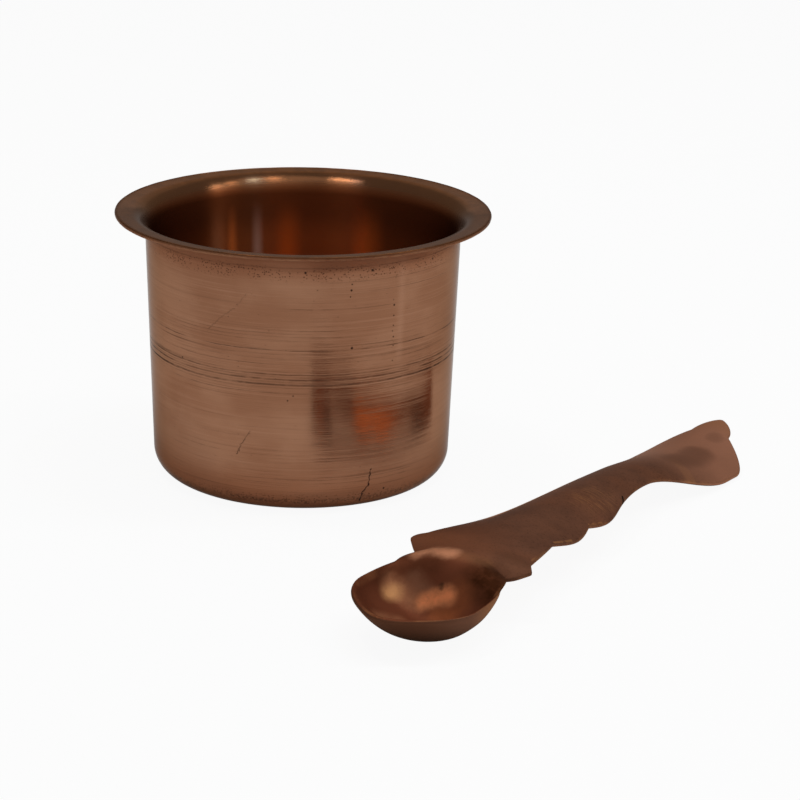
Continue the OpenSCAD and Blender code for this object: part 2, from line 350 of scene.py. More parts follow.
# Random specks: cells per mm sideways and upwards, share of the cells, size as a share of a cell
STRAY_SPECKS = (1.5, 1.9, 0.05, 0.27)
COLUMN_SPECKS = (1.6, 1.6, 0.5, 0.4)
PIT_SPECKS = (2.0, 2.4, 0.85, 0.42)
# Heights on the wall where a finish begins and is complete, or its middle and half width
LINES_TOP = (49, 47)
LINES_MIDDLE = (31, 10)
LINES_LOW = (7, 4)
FOOT_BAND_AT = (2.7, 1.0)
MARKS_TOP = (52, 51.4)
PITS_UNDER_LIP = (49.8, 2.8)
PITS_AT_FOOT = (3, 2.5)
LOW_SHADE = (12, 3)
UNDER_LIP_SHADE = (47, 51)
UNDER_LIP_DULL = (49.5, 51)
INNER_SHADE = (40, 47)
STREAK_TOP = (50, 38)
STREAK_FOOT = (1, 9)
PALE_REFLECTION_FOOT = (28, 33)
CUT_EDGE_TOP = (CUP_H - 0.1, CUP_H - 0.4)
# Radii where a finish begins and is complete
LIP_FROM_R = (NECK_R - 1.0, NECK_R + 1.5)
BEND_FROM_R = (NECK_R - 0.8, NECK_R + 0.4)
BEND_TO_R = (NECK_R + 3.0, NECK_R + 1.4)
CUT_EDGE_FROM_R = (LIP_R - 0.45, LIP_R - 0.2)
RIM_FROM_R = (LIP_R - 1.2, LIP_R - 0.3)
# Degrees from the front: middle and half width of a painted pale reflection, and where the front ends and a
# side begins
PALE_REFLECTION_A = (39.5, 2.6)
FRONT_A = 20
SIDE_A = 70
PINK_COPPER = (0.41, 0.2, 0.114, 1)
PALE_COPPER = (0.5, 0.257, 0.156, 1)
BROWN_COPPER = (0.34, 0.153, 0.083, 1)
LOW_SHADE_COPPER = (0.3, 0.117, 0.058, 1)
LIP_COPPER = (0.27, 0.1, 0.036, 1)
LIP_DARK = (0.2, 0.075, 0.028, 1)
UNDER_LIP_SHADED = (0.27, 0.095, 0.045, 1)
INNER_COPPER = (0.35, 0.088, 0.025, 1)
INNER_TOP_SHADE = (0.2, 0.052, 0.017, 1)
BEND_SHADE_COPPER = (0.18, 0.08, 0.038, 1)
OXIDE = (0.035, 0.017, 0.012, 1)
PIT_BROWN = (0.075, 0.03, 0.017, 1)
WORN_COPPER = (0.4, 0.19, 0.1, 1)
GRAZING_TINT = (0.67, 0.6, 0.55, 1)
# Height of one unit of relief, and the lean that the relief gives the wall
RELIEF = 0.0022
WALL_LEAN = math.radians(2.7)
WALL_ARC = (NECK_R + FOOT_R) / 2 * math.pi / 180

cup_copper, cup_term, cup_place, cup_shader = metal("cup_copper")
x, y, z = cup_place
turned = cup_term.math("ARCTAN2", x, 0 - y) * (180 / math.pi)
radius = cup_term.math("SQRT", x * x + y * y)
inside = cup_term.node("ShaderNodeAttribute", {"attribute_name": "inner"}, {}, 2)
outside = 1 - inside
patches = cup_term.grain(cup_place, *PATCHES)
rings = cup_term.grain(cup_place, *RINGS)
swells = cup_term.grain(cup_place, *SWELLS)
hair = cup_term.grain(cup_place, *HAIR)
breaks = cup_term.grain(cup_place, *BREAKS)
sway = (cup_term.noise(x * SWAY_GRAINS, y * SWAY_GRAINS, 0.0) - 0.5) * SWAY

# Dark lines that follow the chisel, broken by gaps and stronger at the sides than at the front
to_side = (turned * turned).step(FRONT_A ** 2, SIDE_A ** 2)
lined = z.step(*LINES_TOP) * (0.3 + z.near(*LINES_MIDDLE) * 0.7 + z.near(*LINES_LOW) * 0.5)
dark = rings.step(0.54, 0.7) * 0.55 * breaks.step(0.3, 0.65) * lined
dark = dark.most(hair.step(0.56, 0.74) * 0.4 * lined)
gaps = cup_term.grain(cup_place, *GAPS)
frayed = z + sway + (cup_term.grain(cup_place, *FRAYS) - 0.5) * FRAY
whole = breaks.step(0.25, 0.5) * (0.6 + 0.4 * to_side) * (0.35 + 0.65 * gaps.step(0.32, 0.56))
for height, first_a, last_a, half, depth in RING_LINES:
    ring = frayed.near(height, half) * depth * whole
    if last_a - first_a < 360:
        from_middle = cup_term.math("ABSOLUTE", turned - (first_a + last_a) / 2)
        reach = (last_a - first_a) / 2
        ring = ring * from_middle.step(reach + LINE_FADE, reach - LINE_FADE)
    dark = dark.most(ring)
# A blotchy dark band along the foot
foot_dark = z.near(*FOOT_BAND_AT) * cup_term.grain(cup_place, *FOOT_BLOTCHES).step(0.35, 0.7) * 0.6
dark = dark.most(foot_dark) * outside

# Pits and scratches on the wall
wall_u = turned * WALL_ARC
crooked = wall_u + (cup_term.noise(turned, z * 0.2, z * 1.6) - 0.5) * WANDER
marks = None
for angle, height, half in PITS:
    pit = spot(wall_u, z, (angle * WALL_ARC, height), (half, half))
    marks = pit if marks is None else marks.most(pit)
marks = marks.most(cup_term.specks(cup_place, *STRAY_SPECKS) * 0.6)
for points, half, depth in SCRATCHES:
    flat = [(angle * WALL_ARC, height) for angle, height in points]
    marks = marks.most(stroke(crooked, z, flat, half) * depth * gaps.step(0.36, 0.52))
column = (turned + breaks * PIT_COLUMN_STRAY).near(PIT_COLUMN_A + PIT_COLUMN_STRAY / 2, PIT_COLUMN_HALF)
column = column * z.step(PIT_COLUMN_FOOT, PIT_COLUMN_FOOT + 1)
marks = marks.most(column * cup_term.specks(cup_place, *COLUMN_SPECKS))
marks = marks * outside * z.step(*MARKS_TOP)
pit_band = z.near(*PITS_UNDER_LIP) * cup_term.grain(cup_place, *PIT_BAND).step(0.25, 0.5)
pit_band = pit_band + z.near(*PITS_AT_FOOT) * 0.8
pits = cup_term.specks(cup_place, *PIT_SPECKS) * pit_band.step(0.1, 0.9) * outside

# Colour of the wall, then of the inside and the lip, then the marks over both
cup_colour = patches.step(0.35, 0.65).blend(BROWN_COPPER, PINK_COPPER)
cup_colour = (rings.step(0.5, 0.3) * 0.35).blend(cup_colour, PALE_COPPER)
# Painted reflection: a pale upright stripe on the wall's right side
pale_reflection = turned.near(*PALE_REFLECTION_A) * z.step(*PALE_REFLECTION_FOOT) * 0.35
cup_colour = pale_reflection.blend(cup_colour, PALE_COPPER)
# Painted shade: the wall darkens towards its foot
cup_colour = (z.step(*LOW_SHADE) * 0.85).blend(cup_colour, LOW_SHADE_COPPER)
# Painted shade under the lip, over its darker patina
cup_colour = (z.step(*UNDER_LIP_SHADE) * 0.6).blend(cup_colour, UNDER_LIP_SHADED)
lip_share = radius.step(*LIP_FROM_R)
lip_colour = cup_term.grain(cup_place, *LIP_MOTTLE).step(0.35, 0.65).blend(LIP_DARK, LIP_COPPER)
# Painted shade: the inside darkens towards the lip
inner_colour = z.step(*INNER_SHADE).blend(INNER_COPPER, INNER_TOP_SHADE)
# The lamps' streaks down the inside are painted highlights
streaked = z.step(*STREAK_TOP) * z.step(*STREAK_FOOT)
for angle, half, tint in INNER_LAMP_HIGHLIGHTS:
    inner_colour = (turned.near(angle, half) * streaked).blend(inner_colour, tint)
# Painted shade in the inner bend of the lip
lip_bend = radius.step(*BEND_FROM_R) * radius.step(*BEND_TO_R)
inner_colour = lip_share.blend(inner_colour, lip_colour)
inner_colour = (lip_bend * 0.85).blend(inner_colour, BEND_SHADE_COPPER)
cup_colour = inside.blend(cup_colour, inner_colour)
cup_colour = (pits * 0.9).blend(cup_colour, PIT_BROWN)
cup_colour = dark.most(marks).blend(cup_colour, OXIDE)
cut_edge = radius.step(*CUT_EDGE_FROM_R) * z.step(*CUT_EDGE_TOP)
worn_edge = cut_edge * cup_term.grain(cup_place, *EDGE_WORN).step(0.4, 0.6)
cup_colour = (worn_edge * 0.7).blend(cup_colour, WORN_COPPER)

# Gloss and relief: smooth on the wall, duller under the lip, at its rim and on the inside
rim = radius.step(*RIM_FROM_R)
dull = z.step(*UNDER_LIP_DULL) * outside + rim * inside
cup_rough = 0.07 + 0.05 * hair + 0.2 * dark + inside * (0.24 - 0.17 * lip_share) + dull * 0.25
upright = z.most(CORNER_R).least(WALL_TOP) * outside * (math.tan(WALL_LEAN) / RELIEF)
cup_relief = rings * 9 + swells * outside * 10 + hair * 1.4 - dark * 0.8 - marks * 6 - pits * 3 - upright
cup_bump = cup_term.node("ShaderNodeBump", {},
                         {"Strength": 1.0, "Distance": RELIEF * MM, "Height": cup_relief})
wire(cup_shader, {"Base Color": cup_colour, "Roughness": cup_rough, "Normal": cup_bump})
cup_shader.inputs["Specular Tint"].default_value = GRAZING_TINT
cup_shader.inputs["Anisotropic"].default_value = 1.0
cup_shader.inputs["Anisotropic Rotation"].default_value = 0.25
cup.data.materials.append(cup_copper)
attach(cup, "cup")
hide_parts("cup")

# Spoon
# One blank of copper sheet, cut to a scalloped outline and stamped: a dished, pointed bowl, ears behind it,
# an arched handle and a hood with an end knob. It lies loose on the table beside the cup.
SPOON_T = 1.0
SPOON_TIP = (17.2, -(LIP_R + 64.9))
SPOON_YAW = math.radians(59.0)
BOWL_L = 28.5
BOWL_FRONT_L = 13.5
BOWL_SLOPE_L = 17.5
BOWL_BACK_L = 11.9
BOWL_W = 23.8
NOTCH_W = 18.9
RIM_H = 8.8
TIP_POINT = 0.36
BOWL_FULL = 0.59
BOWL_LEAN = 3.1
LEAN_L = 23.2
EAR_FRONT_L = 3.5
EAR_BACK_L = 3.1
EAR_W = 25.8
EAR_CORNER = 0.45
EAR_ROOT_W = 22.0
SCALLOP_L = (11.8, 15.8, 13.3)
SCALLOP_W = (17.9, 16.3, 15.4)
SCALLOP_BULGE = (0.1, 1.15, 0.85)
NECK_L = 16.6
WAIST_W = 11.4
HOOD_L = 25.9
HOOD_FLAT_L = 4.6
HOOD_W = 22.4
HOOD_END_L = 10.1
KNOB_L = 6.0
KNOB_W = 8.6
KNOB_ROUND = 0.85
RIDGE_H = 11.7
CREST_H = 11.4
WAIST_H = 8.8
HOOD_H = 5.1
END_H = 6.6
CHANNEL_R = 10.8
EAR_R = 46.0
FLOOR_GAP = 0.05
BLUNT = 0.3
ROUND_L = 0.45
HALF_T = SPOON_T / 2
# Rows of the grid from the tip on, where those of the tip and the knob draw together, and columns across
TIP_L = 5.0
END_ROWS = 25
BODY_ROWS = (46, 10, 9, 22, 30, 26, 26, 42, 8, 22)
SPOON_COLUMNS = 65

ear_s = BOWL_L + EAR_FRONT_L
root_s = ear_s + EAR_BACK_L
cusp_1_s, cusp_2_s, neck_s = root_s + np.cumsum(SCALLOP_L)
waist_s = neck_s + NECK_L
hood_s = waist_s + HOOD_L
hood_flat_s = hood_s + HOOD_FLAT_L
knob_s = hood_flat_s + HOOD_END_L
spoon_l = knob_s + KNOB_L
rim_z = RIM_H - HALF_T
floor_z = HALF_T + FLOOR_GAP
ridge_z = RIDGE_H - HALF_T


def along(s, start, length):
    """Share of the way from a station, from 0 to 1."""
    return np.clip((s - start) / length, 0, 1)


def mixed(a, b, share):
    """The value that lies a share of the way from a to b."""
    return a + (b - a) * share


def ease(share):
    """Half a cosine wave from 0 to 1."""
    return (1 - np.cos(np.pi * share)) / 2


def cubic(u, length, a, slope_a, b, slope_b):
    """Cubic from a to b over a length, with the given slopes at its ends."""
    return ((1 + 2 * u) * (1 - u) ** 2 * a + u * (1 - u) ** 2 * length * slope_a
            + u * u * (3 - 2 * u) * b + u * u * (u - 1) * length * slope_b)


def through(stations, values, s):
    """Smooth curve through points: cubic pieces whose slope at a point is the mean of its two sides."""
    at, value = np.array(stations), np.array(values)
    chord = np.diff(value) / np.diff(at)
    slope = np.concatenate([chord[:1], (chord[1:] + chord[:-1]) / 2, chord[-1:]])
    k = np.clip(np.searchsorted(at, s, side="right") - 1, 0, len(at) - 2)
    length = at[k + 1] - at[k]
    return cubic(along(s, at[k], length), length, value[k], slope[k], value[k + 1], slope[k + 1])


def half_width(s):
    """Half width of the outline: a half ellipse drawn in to the tip, an ellipse cut off by the notches,
    the ears, three scallops, the neck, the hood and the end knob."""
    front = 1 - along(s, 0, BOWL_FRONT_L)
    back_axis = (BOWL_L - BOWL_FRONT_L) / math.sqrt(1 - (NOTCH_W / BOWL_W) ** 2)
    scallop_ends = (EAR_ROOT_W, *SCALLOP_W)
    scallops = []
    for k, start in enumerate((root_s, cusp_1_s, cusp_2_s)):
        u = along(s, start, SCALLOP_L[k])
        chord = mixed(scallop_ends[k], scallop_ends[k + 1], u) / 2
        scallops.append(chord + SCALLOP_BULGE[k] * np.sin(np.pi * u))
    neck_slope = ((SCALLOP_W[2] - SCALLOP_W[1]) / 2 - np.pi * SCALLOP_BULGE[2]) / SCALLOP_L[2]
    neck = cubic(along(s, neck_s, NECK_L), NECK_L, SCALLOP_W[2] / 2, neck_slope, WAIST_W / 2, 0)
    ear_front = mixed(NOTCH_W, EAR_W, (s - BOWL_L) / EAR_FRONT_L) / 2
    ear_back = mixed(EAR_ROOT_W, EAR_W, np.maximum((root_s - s) / EAR_BACK_L, 0) ** 1.5) / 2
    stretches = (
        (s < BOWL_FRONT_L, BOWL_W / 2 * np.sqrt(1 - front ** 2) * (1 - TIP_POINT * front ** 2)),
        (s < BOWL_L, BOWL_W / 2 * np.sqrt(np.clip(1 - ((s - BOWL_FRONT_L) / back_axis) ** 2, 0, 1))),
        (s < root_s, (ear_front + ear_back - np.hypot(ear_front - ear_back, EAR_CORNER)) / 2),
        (s < cusp_1_s, scallops[0]),
        (s < cusp_2_s, scallops[1]),
        (s < neck_s, scallops[2]),
        (s < waist_s, neck),
        (s < hood_s, mixed(WAIST_W, HOOD_W, ease(along(s, waist_s, HOOD_L))) / 2),
        (s < knob_s, mixed(KNOB_W, HOOD_W, np.cos(np.pi / 2 * along(s, hood_flat_s, HOOD_END_L))) / 2))
    knob = KNOB_W / 2 * (1 - along(s, knob_s, KNOB_L) ** 2) ** KNOB_ROUND
    return np.maximum(BLUNT, np.select([c for c, _ in stretches], [w for _, w in stretches], knob))


def axis_height(s):
    """Height along the axis: down from the tip to the bowl's floor, up its back wall, then along the
    crest."""
    fall = along(s, 0, BOWL_SLOPE_L)
    rise = along(s, BOWL_L - BOWL_BACK_L, BOWL_BACK_L)
    bowl = (floor_z + (rim_z - floor_z) * (1 - fall) ** 3 * (1 + fall)
            + (ridge_z - floor_z) * rise ** 3 * (10 - 15 * rise + 6 * rise ** 2))
    crest = through((BOWL_L, cusp_1_s, waist_s, hood_flat_s, spoon_l),
                    np.array((RIDGE_H, CREST_H, WAIST_H, HOOD_H, END_H)) - HALF_T, s)
    return np.where(s < BOWL_L, bowl, crest)


def sheet(s, v):
    """Middle of the spoon's sheet at a station and at a share v of the half width. The section goes from
    the outline's height to the axis's height as a power of 1 - v * v, and leans sideways at the bowl."""
    wide = half_width(s)
    ridge_droop = (ridge_z - rim_z) / (NOTCH_W / 2) ** 2
    ear_droop = 0.5 / EAR_R
    channel_droop = 0.5 / CHANNEL_R
    hood_droop = (HOOD_H - HALF_T - floor_z) / (HOOD_W / 2) ** 2
    droop = through((BOWL_L, ear_s, root_s, cusp_2_s, waist_s, hood_s, hood_flat_s, spoon_l),
                    (ridge_droop, ear_droop, ear_droop, channel_droop, channel_droop, hood_droop,
                     hood_droop, channel_droop), s)
    axis = axis_height(s)
    edge = np.where(s < BOWL_L, rim_z, axis - droop * wide ** 2)
    full = np.where(s < BOWL_FRONT_L, mixed(1, BOWL_FULL, ease(along(s, 0, BOWL_FRONT_L))),
                    mixed(BOWL_FULL, 1, along(s, BOWL_L - BOWL_BACK_L / 2, BOWL_BACK_L / 2)))
    lean = np.tan(np.radians(BOWL_LEAN * (1 - ease(along(s, ear_s, LEAN_L)))))
    height = mixed(edge, axis, (1 - v * v) ** full) + v * wide * lean
    return np.stack([s + 0 * v, v * wide, height], -1)


def spoon_grid():
    """Rows of stations, close together at the two ends, and columns close together at the two edges."""
    ends = (TIP_L, BOWL_L, ear_s, root_s, cusp_1_s, cusp_2_s, neck_s, waist_s, hood_s, hood_flat_s, knob_s)
    tip = TIP_L * np.linspace(0, 1, END_ROWS)[:-1] ** 2
    middle = [np.linspace(a, b, n, endpoint=False) for a, b, n in zip(ends, ends[1:], BODY_ROWS)]
    knob = mixed(knob_s, spoon_l, 1 - (1 - np.linspace(0, 1, END_ROWS)) ** 2)
    rows = np.concatenate([tip, *middle, knob])
    columns = np.sin(np.pi / 2 * np.linspace(-1, 1, SPOON_COLUMNS))
    return np.meshgrid(rows, columns, indexing="ij")


def spoon_points(s, v):
    """Upper and lower face of the sheet: its middle plus and minus half the thickness along its normal.
    The thickness runs out round the outline in a quarter ellipse, so the two faces meet there."""
    probe = 0.01
    d_s = sheet(np.minimum(s + probe, spoon_l), v) - sheet(np.maximum(s - probe, 0), v)
    d_v = sheet(s, np.minimum(v + probe, 1)) - sheet(s, np.maximum(v - probe, -1))
    normal = np.cross(d_s, d_v)
    normal /= np.linalg.norm(normal, axis=-1, keepdims=True)
    from_edge = np.minimum(half_width(s) * (1 - np.abs(v)), np.minimum(s, spoon_l - s))
    offset = HALF_T * np.sqrt(1 - (1 - np.clip(from_edge / ROUND_L, 0, 1)) ** 2)
    middle = sheet(s, v)
    return middle + offset[..., None] * normal, middle - offset[..., None] * normal, from_edge


def pillow_mesh(name, upper, lower):
    """Two grids of points that share their outer rows and columns, as one closed surface."""
    rows, columns = upper.shape[:2]
    inner_rows, inner_columns = rows - 2, columns - 2
    top = np.arange(rows * columns).reshape(rows, columns)
    under = top.copy()
    under[1:-1, 1:-1] = rows * columns + np.arange(inner_rows * inner_columns).reshape(inner_rows, -1)
    points = np.concatenate([upper.reshape(-1, 3), lower[1:-1, 1:-1].reshape(-1, 3)])
    top_faces, under_faces = (
        np.stack([grid[:-1, :-1], grid[1:, :-1], grid[1:, 1:], grid[:-1, 1:]], -1).reshape(-1, 4)
        for grid in (top, under))
    mesh = bpy.data.meshes.new(name)
    mesh.from_pydata(points * MM, [], np.concatenate([top_faces, under_faces[:, ::-1]]).tolist())
    mesh.shade_smooth()
    return mesh


def both_faces(values):
    """Values of the grid for the upper face's points, then for the lower face's inner points."""
    return np.concatenate([values.ravel(), values[1:-1, 1:-1].ravel()])


def laid(points):
    """Points of the spoon's own frame, turned and moved to where it lies."""
    c, s = math.cos(SPOON_YAW), math.sin(SPOON_YAW)
    px, py, pz = np.moveaxis(points, -1, 0)
    return np.stack([SPOON_TIP[0] + c * px - s * py, SPOON_TIP[1] + s * px + c * py, pz], -1)


station, cross_share = spoon_grid()
upper, lower, from_edge = spoon_points(station, cross_share)
spoon = bpy.data.objects.new("copper_spoon", pillow_mesh("copper_spoon", laid(upper), laid(lower)))
bpy.context.scene.collection.objects.link(spoon)
set_attribute(spoon.data, "station", both_faces(station))
set_attribute(spoon.data, "across", both_faces(cross_share * half_width(station)))
set_attribute(spoon.data, "from_edge", both_faces(from_edge))
set_attribute(spoon.data, "upper", np.arange(len(spoon.data.vertices)) < station.size)

SPOON_BROWN = (0.24, 0.102, 0.059, 1)
SPOON_DARK = (0.2, 0.085, 0.05, 1)
EAR_SHADE_BROWN = (0.15, 0.064, 0.035, 1)
SPOON_RED = (0.29, 0.106, 0.051, 1)
SPOON_SHEEN = (0.54, 0.248, 0.149, 1)
SPOON_WORN_AND_SHEEN = (0.5, 0.22, 0.09, 1)
SPOON_LIT = (0.8, 0.3, 0.09, 1)
SPOON_UNDER = (0.155, 0.063, 0.034, 1)
SPOON_SIDE = (0.29, 0.138, 0.086, 1)
SPOON_SOOT_AND_SHADE = (0.014, 0.008, 0.006, 1)
BOWL_SHADE = (0.06, 0.018, 0.007, 1)
BOWL_BROWN = (0.2, 0.062, 0.03, 1)
BOWL_GREY_SHADE = (0.3, 0.13, 0.072, 1)
BOWL_RED = (0.38, 0.12, 0.045, 1)
BOWL_WARM_REFLECTION = (0.42, 0.18, 0.09, 1)
BOWL_ORANGE_HIGHLIGHT = (0.85, 0.33, 0.14, 1)
BOWL_YELLOW_HIGHLIGHT = (0.62, 0.32, 0.14, 1)
RIDGE_HIGHLIGHT = (0.66, 0.31, 0.17, 1)
# Painted highlights, reflections and shade in the bowl, with a dark pit and a little rubbed wear: points as
# station and distance across, half width, colour and strength
BOWL_LIGHT_SHADE_AND_WEAR = ((((25.0, -7.1), (24.0, -9.4)), 6.6, BOWL_SHADE, 1.25),
               (((19.5, 11.0), (22.6, 9.2), (24.6, 4.0)), 4.2, BOWL_SHADE, 0.5),
               (((19.5, 9.4), (20.4, 7.2), (20.6, 3.9), (21.3, 0.8), (21.8, -1.2)), 3.3, BOWL_WARM_REFLECTION, 1.0),
               (((22.2, 5.9), (21.7, 3.4)), 3.0, BOWL_GREY_SHADE, 0.9),
               (((21.3, -4.2), (22.5, -3.4)), 3.8, BOWL_RED, 0.65),
               (((19.5, -0.4), (19.9, -3.1)), 2.6, BOWL_RED, 1.0),
               (((20.8, 2.4), (21.4, 0.8), (21.9, -1.2)), 2.7, BOWL_ORANGE_HIGHLIGHT, 1.25),
               (((18.2, 8.9), (19.3, 8.4)), 2.6, BOWL_YELLOW_HIGHLIGHT, 1.25),
               (((10.9, 6.3), (14.3, 4.0)), 2.6, BOWL_WARM_REFLECTION, 0.9),
               (((22.4, 0.4), (22.7, 0.5)), 0.8, SPOON_SOOT_AND_SHADE, 1.0),
               (((27.0, 1.0), (27.4, -2.6), (28.4, -5.0)), 2.4, SPOON_WORN_AND_SHEEN, 0.22),
               (((26.3, 7.8), (27.2, 5.6), (27.1, 1.2)), 2.5, RIDGE_HIGHLIGHT, 1.3))
# Worn stretches of the edge: first and last station, side, half width and strength
EDGE_WEAR = ((47.4, 53.0, -1, 0.3, 1.0), (62.8, 67.0, -1, 0.26, 0.9), (35.6, 38.0, -1, 0.3, 0.5))
WEAR_INSET = 0.42
WEAR_POINTS = 5
# Lines on the sheet, as stations and distances across, with their half widths
CUT = ((80.3, -6.0), (79.4, -6.6), (78.2, -7.3))
CUT_HALF = 0.22
HOOD_SHADE = ((111.5, -2.4), (116.0, -3.6), (121.5, -3.0))
HOOD_SHADE_HALF = 4.2
HOOD_CREASE = ((110.3, -2.4), (108.6, -5.6), (106.1, -8.6))
HOOD_CREASE_HALF = 1.7
# Patches on the sheet: middle and reach, along and across
THUMB_RUB = ((72.5, -3.5), (9, 5))
KNOB_SHADE = ((130.6, -2.3), (3, 2.4))
# Stations, or distances across, where a finish begins and is complete
RED_BEHIND = (48, 36)
RED_ACROSS = (-9, 4)
EAR_BEHIND = (37, 32)
EAR_ACROSS = (-2, -9)
EAR_DULL = (40, 33)
BOWL_BEHIND = (BOWL_L - 0.6, BOWL_L - 3.4)
SHEEN_FROM = (98, 120)
KNOB_HIGHLIGHT_FROM = (132, 137)
FLANK_ACROSS = (4.8, 6.2)
FLANK_FROM = (46, 53)
FLANK_TO = (100, 92)
RIM_ACROSS = (-2, -6)
RIM_FROM = (11, 19)
FAR_ACROSS = (3.0, 7.0)
FAR_FROM = (11, 18)
# The same for station less distance across, for height, and for distance from the outline
SIDE_FROM = (8, 34)
SHADE_TOP = (-2.0, 7.0)
RIM_INSET = (2.2, 0.3)
EDGE_INSET = (0.5, 0.1)
# Random patterns: grains per mm sideways and upwards, then detail and roughness where they aren't the usual
MOTTLE = (0.22, 0.22, 4.0, 0.6)
CLOUD = (0.07, 0.07, 2.0)
FINE_GRAIN = (2.2, 2.2, 3.0, 0.6)
SPECKLE = (0.6, 0.6, 4.0, 0.65)
# Rubs that run across the handle: grains per mm along and across
RUBS_ALONG = 3.4
RUBS_ACROSS = 0.22
# How far the mottle shifts the patches, in mm from end to end
DRIFT = 1.6
# Height of one unit of relief
SPOON_RELIEF = 0.01


def on_sheet(points):
    """Places on the lying spoon's upper face, from stations and distances across."""
    s, t = np.array(points).T
    return laid(sheet(s, t / half_width(s))) + (0, 0, HALF_T)


def dot(a, b):
    """Sum of the products of two triples."""
    return a[0] * b[0] + a[1] * b[1] + a[2] * b[2]


def smear(place, points, half):
    """Soft streak in space: the square of 1 - d * d, where d is the distance from the lines between points
    as a share of the half width."""
    nearest = None
    for start, end in zip(points, points[1:]):
        run = end - start
        away = [axis - at for axis, at in zip(place, start)]
        share = dot(away, run) / dot(run, run)
        share = share.most(0.0).least(1.0)
        off = [a - share * r for a, r in zip(away, run)]
        squared = dot(off, off)
        nearest = squared if nearest is None else nearest.least(squared)
    bell = (1 - nearest * (1 / half ** 2)).most(0.0)
    return bell * bell


spoon_copper, spoon_term, spoon_place, spoon_shader = metal("spoon_copper")
station_mm, across_mm, edge_mm, upper_face = (
    spoon_term.node("ShaderNodeAttribute", {"attribute_name": name}, {}, 2)
    for name in ("station", "across", "from_edge", "upper"))
mottle = spoon_term.grain(spoon_place, *MOTTLE)
cloud = spoon_term.grain(spoon_place, *CLOUD)
fine_grain = spoon_term.grain(spoon_place, *FINE_GRAIN)
rubs = spoon_term.noise(station_mm * RUBS_ALONG, across_mm * RUBS_ACROSS, 0.0, 3.0, 0.6)
drift = (mottle - 0.5) * DRIFT
speckle = spoon_term.grain(spoon_place, *SPECKLE)

# Oxide on the handle and redder behind the bowl, with painted shade at the near ear and a painted sheen that
# pales it towards the knob
bowl_share = station_mm.step(*BOWL_BEHIND)
spoon_colour = mottle.step(0.35, 0.68).blend(SPOON_DARK, SPOON_BROWN)
spoon_colour = (cloud.step(0.42, 0.68) * 0.5).blend(spoon_colour, SPOON_RED)
spoon_colour = (fine_grain.step(0.5, 0.75) * 0.4).blend(spoon_colour, SPOON_SOOT_AND_SHADE)
reddened = station_mm.step(*RED_BEHIND) * across_mm.step(*RED_ACROSS)
spoon_colour = (reddened * 0.6).blend(spoon_colour, SPOON_RED)
# Painted shade darkens the near ear
near_ear_shade = station_mm.step(*EAR_BEHIND) * across_mm.step(*EAR_ACROSS)
spoon_colour = (near_ear_shade * 0.6).blend(spoon_colour, EAR_SHADE_BROWN)
rubbed = spot(station_mm, across_mm, *THUMB_RUB) * rubs.step(0.48, 0.66)
spoon_colour = (rubbed * 0.6).blend(spoon_colour, SPOON_WORN_AND_SHEEN)
# Painted highlight along the hood's crease
crease_highlight = stroke(station_mm, across_mm, HOOD_CREASE, HOOD_CREASE_HALF)
spoon_colour = (crease_highlight * 0.3).blend(spoon_colour, SPOON_WORN_AND_SHEEN)
# Painted sheen: the hood pales towards the knob
spoon_colour = (station_mm.step(*SHEEN_FROM) * 0.75).blend(spoon_colour, SPOON_SHEEN)
shaded = stroke(station_mm + drift, across_mm + drift, HOOD_SHADE, HOOD_SHADE_HALF, 0.0)
shaded = shaded.most(spot(station_mm, across_mm, *KNOB_SHADE) * 0.6)
spoon_colour = (shaded * 0.6).blend(spoon_colour, SPOON_DARK)
# Painted highlight on the end knob
spoon_colour = (station_mm.step(*KNOB_HIGHLIGHT_FROM) * 0.3).blend(spoon_colour, SPOON_WORN_AND_SHEEN)

# Painted highlights, reflections and shade in the bowl, a painted highlight on the far flank, and wear and a
# cut at the edge
spoon_colour = bowl_share.blend(spoon_colour, BOWL_BROWN)
drifted = [axis + drift for axis in spoon_place]
# The bowl's patches are painted light and shade, with a dark pit and a little rubbed wear
for points, half, tint, strength in BOWL_LIGHT_SHADE_AND_WEAR:
    bowl_patch = smear(drifted, on_sheet(points), half)
    spoon_colour = (bowl_patch * (0.3 + speckle) * strength).blend(spoon_colour, tint)
# Painted highlight on the far flank, which faces the cup
lit_flank = across_mm.step(*FLANK_ACROSS) * station_mm.step(*FLANK_FROM) * station_mm.step(*FLANK_TO)
spoon_colour = (lit_flank * 0.9).blend(spoon_colour, SPOON_LIT)
wear = edge_mm.step(*EDGE_INSET) * mottle.step(0.42, 0.66) * 0.4
for first_s, last_s, side, half, strength in EDGE_WEAR:
    worn_s = np.linspace(first_s, last_s, WEAR_POINTS)
    worn_t = side * (half_width(worn_s) - WEAR_INSET)
    worn_line = np.stack([worn_s, worn_t], 1).tolist()
    worn = stroke(station_mm, across_mm, worn_line, half) * speckle.step(0.3, 0.55)
    wear = wear.most(worn * strength)
spoon_colour = (wear * 0.8).blend(spoon_colour, SPOON_WORN_AND_SHEEN)
cut = stroke(station_mm, across_mm, CUT, CUT_HALF)
spoon_colour = cut.blend(spoon_colour, SPOON_SOOT_AND_SHADE)

# Under face: painted shade towards the table, darker towards the tip, a painted highlight at the near rim
# and painted light on the far side
under_colour = (station_mm - across_mm).step(*SIDE_FROM).blend(SPOON_UNDER, SPOON_SIDE)
rim_light = edge_mm.step(*RIM_INSET) * across_mm.step(*RIM_ACROSS) * station_mm.step(*RIM_FROM)
under_colour = (rim_light * 0.5).blend(under_colour, SPOON_WORN_AND_SHEEN)
lit_far_under = across_mm.step(*FAR_ACROSS) * station_mm.step(*FAR_FROM) * 0.9
under_colour = lit_far_under.blend(under_colour, SPOON_LIT)
